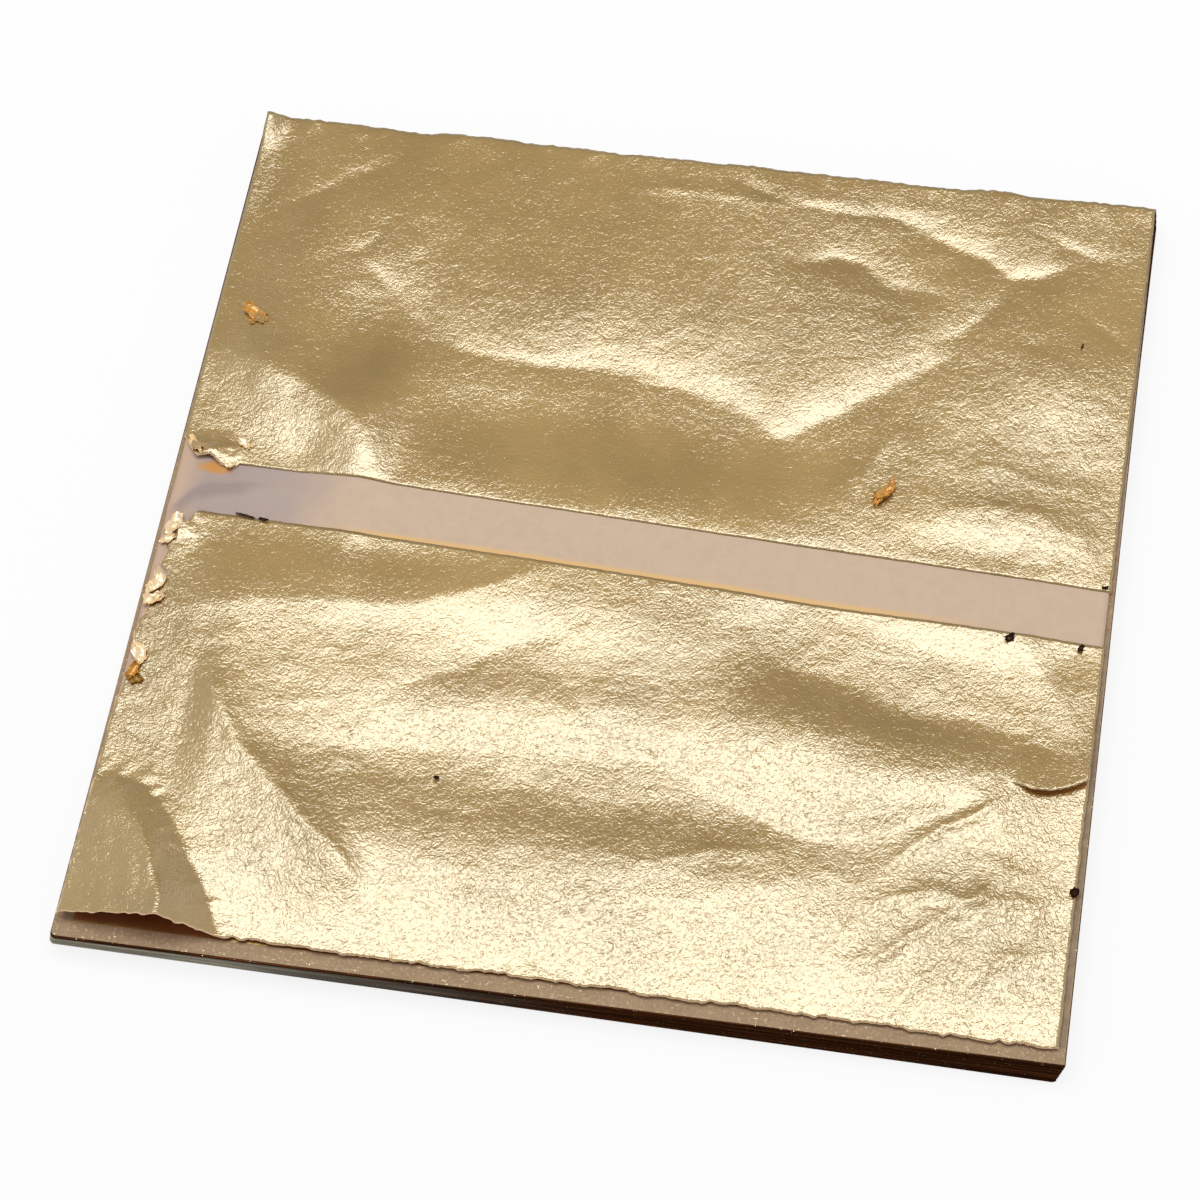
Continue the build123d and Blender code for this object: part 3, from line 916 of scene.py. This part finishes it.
# %% Tissue
TISSUE_PALE = (0.640, 0.475, 0.340, 1)
TISSUE_FIBRE = (0.590, 0.440, 0.315, 1)
TISSUE_LILAC_REFLECTION = (0.455, 0.360, 0.320, 1)
TISSUE_PEACH = (0.660, 0.450, 0.310, 1)
TISSUE_BOUNCE_LIGHT = (0.800, 0.500, 0.200, 1)
TISSUE_BOUNCE_GLOW = (0.700, 0.300, 0.040, 1)
TISSUE_SHADE = (0.300, 0.230, 0.220, 1)
TISSUE_BACK_SHADE = (0.420, 0.024, 0.014, 1)
LILAC_END, LILAC_FADE, LILAC_CLOUD = -50.0, 18.0, 18
PEACH_END, PEACH_FADE, PEACH_CLOUD, PEACH_SHARE = -66.0, 4.0, 6, 0.8
LINE_ABOVE, LINE_LEFT, LINE_RIGHT = 0.25, -48.0, 30.0
GLOW_X, GLOW_Y, GLOW_CLOUD, GLOW_SHARE = -64.2, 6.6, 3.0, 0.9
GLOW_NARROW, GLOW_FLAT, GLOW_FADE = 0.12, 0.7, 1.4
PINCH_SHARE = 0.6
FIBRE_BUMP, TISSUE_TOOTH = 0.012, 0.002


def tissue_finish():
    """The top sheet: fibres in two tones, then the painted lilac reflection, the peach, the painted warm line, the
    painted pinch shade and the painted glow over it, then the underside in painted shade.
    """
    sheet = Finish(bpy.data.materials.new("pale_tissue"))
    x, y = sheet.position()
    fibres, cloud = sheet.noise(2.4, 6.0, 0.7, 0.8), sheet.noise(8.0, 3.0, 0.6)
    # painted reflection of bluish light on the strip's left end
    lilac_reflection = 1 - (x + cloud * LILAC_CLOUD).above(LILAC_END, LILAC_FADE)
    peach = (1 - (x + cloud * PEACH_CLOUD).above(PEACH_END, PEACH_FADE)) * PEACH_SHARE
    # line: painted light bounced from the leaf along the strip's near edge
    off_edge = abs(y - (strip_edge(x, -1) + LINE_ABOVE))
    line = (1 - off_edge.above(0.1, 0.9)) * x.above(LINE_LEFT, 14.0) * (1 - x.above(LINE_RIGHT, 30.0))
    # painted shade along the pinched crease
    pinch = sheet.attribute("pinch").above(0.15, 0.8) * PINCH_SHARE
    # glow: painted light bounced from the curled leaf at the far tear
    glow_x, glow_y = x - GLOW_X, y + cloud * GLOW_CLOUD - GLOW_Y
    off_tear = glow_x * glow_x * GLOW_NARROW + glow_y * glow_y * GLOW_FLAT
    glow = (1 - off_tear.above(0.0, GLOW_FADE)) * GLOW_SHARE
    colour = sheet.layers(
        TISSUE_PALE, (fibres.above(0.35, 0.4), TISSUE_FIBRE), (lilac_reflection, TISSUE_LILAC_REFLECTION), (peach, TISSUE_PEACH),
        (line, TISSUE_BOUNCE_LIGHT), (pinch, TISSUE_SHADE), (glow, TISSUE_BOUNCE_GLOW))
    crinkle = sheet.noise(1.1, 4.0, 0.6, 0.4) * FIBRE_BUMP + sheet.noise(0.25, 2.0, 0.5) * TISSUE_TOOTH
    # The underside is painted deep red-brown: a painted shade with warm bounce.
    return sheet.surface({
        "Base Color": sheet.mix(sheet.facing_up().above(-0.3, 0.3), TISSUE_BACK_SHADE, colour),
        "Roughness": 0.46 + fibres * 0.14, "Normal": sheet.bump(crinkle), "Specular IOR Level": 0.4,
        "Sheen Weight": 0.15,
    })


pale_tissue = tissue_finish()

# %% [markdown]
# The papers below are taupe, matt and sprinkled with gold dust. Their cut edges are in thin layers, with painted
# shade, red-brown, near the top and to the right, and painted light, a pale grey-green, at the left. They don't lie
# quite square on each other, so a narrow ledge of each shows, in the same painted red-brown shade as the edges.

# %% The papers' ledges in painted shade
# Stack of papers, mm: height of the uppermost one, sheet size, slant of the left side, turn and drift per mm.
STACK, PAPER_WIDTH, PAPER_DEPTH, LEFT_SLANT = 4.41, 141.5, 142.5, 0.0084
TURN_BELOW, TURN_RISE, DRIFT_RISE = 0.0035, 0.00246, 0.091
LEDGE_SHADE_INSET, LEDGE_SHADE_FADE = 0.26, 0.16
TOP_PAPER, TOP_FADE = 0.015, 0.005


def ledge_painted_shade(paper, z):
    """1 in the outer third of a millimetre of every paper but the uppermost, 0 inside: the ledge that gets painted
    shade. The papers' turn and shift grow evenly with height, so x and y are first turned into the paper's own
    directions."""
    x, y = paper.in_mm(0), paper.in_mm(1)
    turn = z * TURN_RISE - TURN_BELOW
    u = x + y * turn + (STACK - z) * DRIFT_RISE
    v = y - x * turn
    left = u + PAPER_WIDTH / 2 - (v + PAPER_DEPTH / 2) * LEFT_SLANT
    inset = left.math("MINIMUM", left, PAPER_WIDTH / 2 - u)
    inset = left.math("MINIMUM", inset, PAPER_DEPTH / 2 - abs(v))
    return (1 - inset.above(LEDGE_SHADE_INSET, LEDGE_SHADE_FADE)) * (1 - z.above(STACK + TOP_PAPER, TOP_FADE))

# %% Interleaf paper
PAPER_CLOUD = (0.360, 0.250, 0.152, 1)
PAPER_SPECK = (0.640, 0.450, 0.280, 1)
EDGE_SHADE_BROWN = (0.044, 0.016, 0.006, 1)
EDGE_SHADE_RED = (0.120, 0.040, 0.014, 1)
EDGE_LIT_GREY = (0.460, 0.440, 0.360, 1)
EDGE_LIT_PALE = (0.760, 0.730, 0.620, 1)
GOLD_DUST = (0.90, 0.76, 0.50, 1)
SPECK_SIZE, SPECK_SHARE = 0.45, 0.7
STRATA_SCALE, STRATA_FLAT = 2.6, 0.012  # layers: noise of 0.4 mm in height, drawn out 80 times
SHADE_LEFT, SHADE_FADE, SHADE_CLOUD = -66.0, 80.0, 12
SHADE_ABOVE, ABOVE_FADE = 3.4, 0.5
DUST_CELL, DUST_GRAIN, DUST_METAL = 0.32, 0.14, 0.8
PAPER_ROUGH, DUST_SHINE = 0.62, 0.3
PAPER_TOOTH, PAPER_FINE, PAPER_FIBRE = 0.010, 0.30, 0.01


def paper_finish():
    """The papers: taupe faces with specks and dust, layered cut edges in painted light and shade, and ledges in the
    same painted shade as the edges.
    """
    paper = Finish(bpy.data.materials.new("interleaf_paper"))
    x, y = paper.position()
    z = paper.in_mm(2)
    fibres = paper.noise(3.0, 6.0, 0.7, 0.6)
    face = paper.mix(fibres.above(0.35, 0.4), PAPER, PAPER_CLOUD)
    face = paper.mix(paper.noise(SPECK_SIZE, 3.0, 0.7).above(0.52, 0.14) * SPECK_SHARE, face, PAPER_SPECK)
    flattened = paper.node("ShaderNodeCombineXYZ", {}, {0: x * STRATA_FLAT, 1: y * STRATA_FLAT, 2: z})
    layers = {"Vector": flattened, "Scale": STRATA_SCALE, "Detail": 4.0}
    strata = paper.node("ShaderNodeTexNoise", {}, layers, "Fac")
    # Painted shade on the cut edges near the top and to the right; painted light, grey-green, at the left.
    shaded_edge = paper.mix(strata.above(0.48, 0.12), EDGE_SHADE_BROWN, EDGE_SHADE_RED)
    lit_edge = paper.mix(strata.above(0.50, 0.08), EDGE_LIT_GREY, EDGE_LIT_PALE)
    shade_to_right = (x + paper.noise(6.0, 2.0) * SHADE_CLOUD).above(SHADE_LEFT, SHADE_FADE)
    shade_near_top = z.above(SHADE_ABOVE, ABOVE_FADE)
    edge = paper.mix(1 - (1 - shade_to_right) * (1 - shade_near_top), lit_edge, shaded_edge)
    upright = 1 - abs(paper.facing_up()).above(0.3, 0.4)
    colour = paper.mix(upright, face, edge)
    # The ledges get the same painted shade as the edges.
    colour = paper.mix(ledge_painted_shade(paper, z), colour, edge)
    specks = 1 - paper.cells(DUST_CELL).above(DUST_GRAIN, 0.10)
    dust = specks * paper.noise(0.9, 2.0, 0.6).above(0.52, 0.10) * (1 - upright)
    tooth = paper.noise(PAPER_FINE, 4.0, 0.65) * PAPER_TOOTH + fibres * PAPER_FIBRE
    return paper.surface({
        "Base Color": paper.mix(dust, colour, GOLD_DUST), "Metallic": dust * DUST_METAL,
        "Roughness": PAPER_ROUGH - dust * DUST_SHINE, "Normal": paper.bump(tooth), "Specular IOR Level": 0.0,
    })


interleaf_paper = paper_finish()

# %% Finishes on their pieces
def dress(made, material):
    """Gives a piece one material."""
    made.data.materials.clear()
    made.data.materials.append(material)


for name, node in nodes.items():
    dress(node, interleaf_paper if name.startswith("interlea") else pressed_leaf)
for made in (far_leaf, near_leaf, scraps):
    dress(made, gold_leaf)
dress(tissue, pale_tissue)
print("finishes:", [material.name for material in bpy.data.materials])

# %% [markdown]

# %% [markdown]
# ## Floor, light and camera
#
# The pack lies on plain white. For the camera the floor is mostly a white glow, and the rest of it is matt paint,
# which keeps a soft shadow.

# %% Floor
FLOOR_REACH = 3.0
FLOOR_GLOW = 0.85
FLOOR_WHITE, GLOW_WHITE = (0.97, 0.97, 0.97, 1), (1, 1, 1, 1)


def floor_finish():
    """White paint, mixed with a white glow for the rays that come from the camera or from gloss."""
    floor = Finish(bpy.data.materials.new("white_floor"))
    paint = floor.node("ShaderNodeBsdfDiffuse", {}, {"Color": FLOOR_WHITE})
    glow = floor.node("ShaderNodeEmission", {}, {"Color": GLOW_WHITE, "Strength": 1.0})
    seen = floor.node("ShaderNodeLightPath", {}, {}, "Is Camera Ray")
    for ray in ("Is Glossy Ray", "Is Transmission Ray"):
        seen = seen.math("MAXIMUM", seen, floor.node("ShaderNodeLightPath", {}, {}, ray))
    return floor.finish_with(floor.node("ShaderNodeMixShader", {}, {0: seen * FLOOR_GLOW, 1: paint, 2: glow}))


corners = np.array([(-1, -1, 0), (1, -1, 0), (1, 1, 0), (-1, 1, 0)]) * FLOOR_REACH / MM
floor = bpy.data.objects.new("floor", mesh_from("floor", corners, np.array([[0, 1, 2, 3]])))
bpy.context.scene.collection.objects.link(floor)
dress(floor, floor_finish())
print("floor", 2 * FLOOR_REACH, "m wide")

# %% [markdown]
# What the leaf mirrors matters more than how strong the light is. One large soft lamp hangs high up behind the
# pack, where the near half mirrors it and the far half just misses it. The room around is like white walls under a
# dim ceiling, lighter low down and to both sides: flat leaf mirrors the ceiling and stays dark, and the slopes of
# the lifted corner mirror the walls.

# %% Light
ROOM_WHITE = (1.0, 0.98, 0.95, 1)
ROOM_LIGHT = 0.25
WALL_GLOW, WALL_TOP, WALL_FADE = 1.8, 0.08, 0.32
SIDE_GLOW, SIDE_FROM, SIDE_FADE = 1.5, 0.22, 0.45
LAMP_SHARE = 0.60
LAMP_AWAY = 0.9
LAMP_HEIGHT, LAMP_ROUND = radians(78), radians(104)
LAMP_WIDTH, LAMP_DEPTH = 0.85, 0.46

room = Finish(bpy.data.worlds.new("pale_room"))
low_down = 1 - room.axis(room.place, 2).above(WALL_TOP, WALL_FADE)
sideways = abs(room.axis(room.place, 0)).above(SIDE_FROM, SIDE_FADE)
strength = (low_down * WALL_GLOW + sideways * SIDE_GLOW + 1) * ROOM_LIGHT
walls = room.node("ShaderNodeBackground", {}, {"Color": ROOM_WHITE, "Strength": strength})
bpy.context.scene.world = room.finish_with(walls, "ShaderNodeOutputWorld")

lamp = bpy.data.lights.new("soft_lamp", "AREA")
lamp.shape, lamp.size, lamp.size_y = "RECTANGLE", LAMP_WIDTH, LAMP_DEPTH
solid_angle = LAMP_WIDTH * LAMP_DEPTH / LAMP_AWAY ** 2
lamp_radiance = LAMP_SHARE * pi / (solid_angle * sin(LAMP_HEIGHT))
lamp.energy = lamp_radiance * pi * LAMP_WIDTH * LAMP_DEPTH
lamp_object = bpy.data.objects.new("soft_lamp", lamp)
bpy.context.scene.collection.objects.link(lamp_object)
level_part = cos(LAMP_HEIGHT)
towards = Vector((cos(LAMP_ROUND) * level_part, sin(LAMP_ROUND) * level_part, sin(LAMP_HEIGHT)))
lamp_object.location = towards * LAMP_AWAY
lamp_object.rotation_euler = towards.to_track_quat("Z", "Y").to_euler()
print("lamp radiance", round(lamp_radiance, 2), "over", round(solid_angle, 2), "sr")

# %% [markdown]
# The camera stands in front of the pack, a little to its right, and looks down steeply through a long lens.

# %% Camera
CAMERA_AT = Vector((65.29, -261.64, 461.90)) * MM
CAMERA_AIM = Vector((-3.02, -8.09, 4.5)) * MM
CAMERA_ROLL = radians(-6.30)
CAMERA_LENS, FILM_WIDTH = 108.56, 36

camera = bpy.data.objects.new("camera", bpy.data.cameras.new("camera"))
bpy.context.scene.collection.objects.link(camera)
camera.data.lens = CAMERA_LENS
camera.data.sensor_width = FILM_WIDTH
camera.location = CAMERA_AT
level = (CAMERA_AIM - CAMERA_AT).to_track_quat("-Z", "Y").to_matrix()
camera.rotation_euler = (level @ Matrix.Rotation(CAMERA_ROLL, 3, "Z")).to_euler()
bpy.context.scene.camera = camera
bpy.context.scene.view_settings.view_transform = "Standard"
print("camera", round((CAMERA_AIM - CAMERA_AT).length, 3), "m away")
